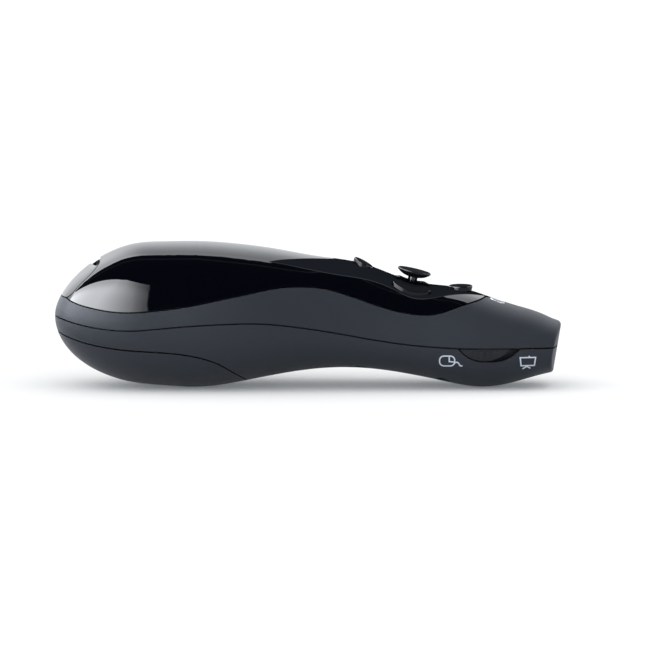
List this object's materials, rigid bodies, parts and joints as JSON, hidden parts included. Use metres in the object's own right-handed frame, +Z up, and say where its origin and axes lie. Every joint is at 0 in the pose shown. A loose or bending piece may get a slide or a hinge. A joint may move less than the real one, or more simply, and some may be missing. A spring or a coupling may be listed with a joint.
{
  "type": "wireless presentation clicker",
  "caption": "Handheld wireless presentation remote with a tilting mouse stick, press keys, a mode slider, a stowed USB receiver and a sliding battery door.",
  "frame": {"origin": "middle of the overall length and width, at table height", "axes": "+X towards the nose, +Z up, the mode slider on the -Y side"},
  "size_m": [0.1349, 0.0418, 0.0387],
  "materials": {
    "piano_black": "high gloss black",
    "soft_grey": "soft matte",
    "key_black": "satin top, polished sides",
    "stick_black": "satin",
    "stem_black": "polished",
    "acetal": "satin",
    "steel": "satin",
    "board_green": "solder mask",
    "switch_black": "matte",
    "chip_black": "moulded epoxy",
    "tin": "plated",
    "led": "diffuse",
    "polyimide": "amber film",
    "cell_jacket": "printed jacket",
    "tray_black": "matte",
    "plug_steel": "bright",
    "tongue_white": "matte",
    "gold": "plated",
    "brass": "machined",
    "lens": "clear",
    "chrome": "bright",
    "dark_window": "dark red tint",
    "smoke": "smoked"
  },
  "bodies": {
    "body": {"top_cover": "piano_black", "control_panel": "piano_black", "upper_housing": "soft_grey", "lower_housing": "soft_grey", "stick_base": "acetal", "key_board": "board_green", "key_switches": "switch_black", "switch_domes": "steel", "panel_screws": "steel", "main_board": "board_green", "controller_chip": "chip_black", "radio_can": "tin", "indicator_led": "led", "ribbon_cable": "polyimide", "slide_switch": "switch_black", "battery_cells": "cell_jacket", "battery_springs": "steel", "contact_bridge": "steel", "contact_plates": "steel", "battery_tray": "tray_black", "receiver_cradle": "tray_black", "laser_barrel": "brass", "laser_diode": "tin", "laser_lens": "lens", "nose_bezel": "chrome", "nose_window": "dark_window", "indicator_lens": "smoke", "housing_screws": "steel"},
    "door": {"battery_door": "soft_grey"},
    "receiver": {"receiver_cap": "piano_black", "receiver_case": "tray_black", "receiver_board": "board_green", "receiver_chip": "chip_black", "plug_shell": "plug_steel", "plug_tongue": "tongue_white", "plug_contacts": "gold"},
    "rear_key": {"rear_key": "key_black"},
    "front_key": {"front_key": "key_black"},
    "right_key": {"right_key": "key_black"},
    "left_key": {"left_key": "key_black"},
    "gimbal": {"gimbal_ring": "acetal"},
    "stick": {"stick_stem": "stem_black", "stick_cap": "stick_black"},
    "mode_slider": {"mode_slider": "soft_grey"}
  },
  "joints": [
    {"name": "rear_key_press", "type": "slide", "parent": "body", "child": "rear_key", "axis": [-0.225, 0, -0.9744], "range_m": [0, 0.0005], "stiffness_N_per_m": 200},
    {"name": "front_key_press", "type": "slide", "parent": "body", "child": "front_key", "axis": [-0.225, 0, -0.9744], "range_m": [0, 0.0005], "stiffness_N_per_m": 200},
    {"name": "right_key_press", "type": "slide", "parent": "body", "child": "right_key", "axis": [-0.225, 0, -0.9744], "range_m": [0, 0.0005], "stiffness_N_per_m": 200},
    {"name": "left_key_press", "type": "slide", "parent": "body", "child": "left_key", "axis": [-0.225, 0, -0.9744], "range_m": [0, 0.0005], "stiffness_N_per_m": 200},
    {"name": "stick_tilt_fore_aft", "type": "hinge", "parent": "body", "child": "gimbal", "pos_m": [0.0268, 0, 0.02397], "axis": [0, 1, 0], "range_deg": [-10, 10], "stiffness_Nm_per_rad": 0.004},
    {"name": "stick_tilt_side", "type": "hinge", "parent": "gimbal", "child": "stick", "pos_m": [0.0268, 0, 0.02397], "axis": [0.9744, 0, -0.225], "range_deg": [-10, 10], "stiffness_Nm_per_rad": 0.004},
    {"name": "mode_slider_slide", "type": "slide", "parent": "body", "child": "mode_slider", "axis": [1, 0, 0], "range_m": [0, 0.0025]},
    {"name": "receiver_slide", "type": "slide", "parent": "body", "child": "receiver", "axis": [-1, 0, 0], "range_m": [0, 0.048]},
    {"name": "battery_door_slide", "type": "slide", "parent": "body", "child": "door", "axis": [-1, 0, 0], "range_m": [0, 0.06]}
  ]
}
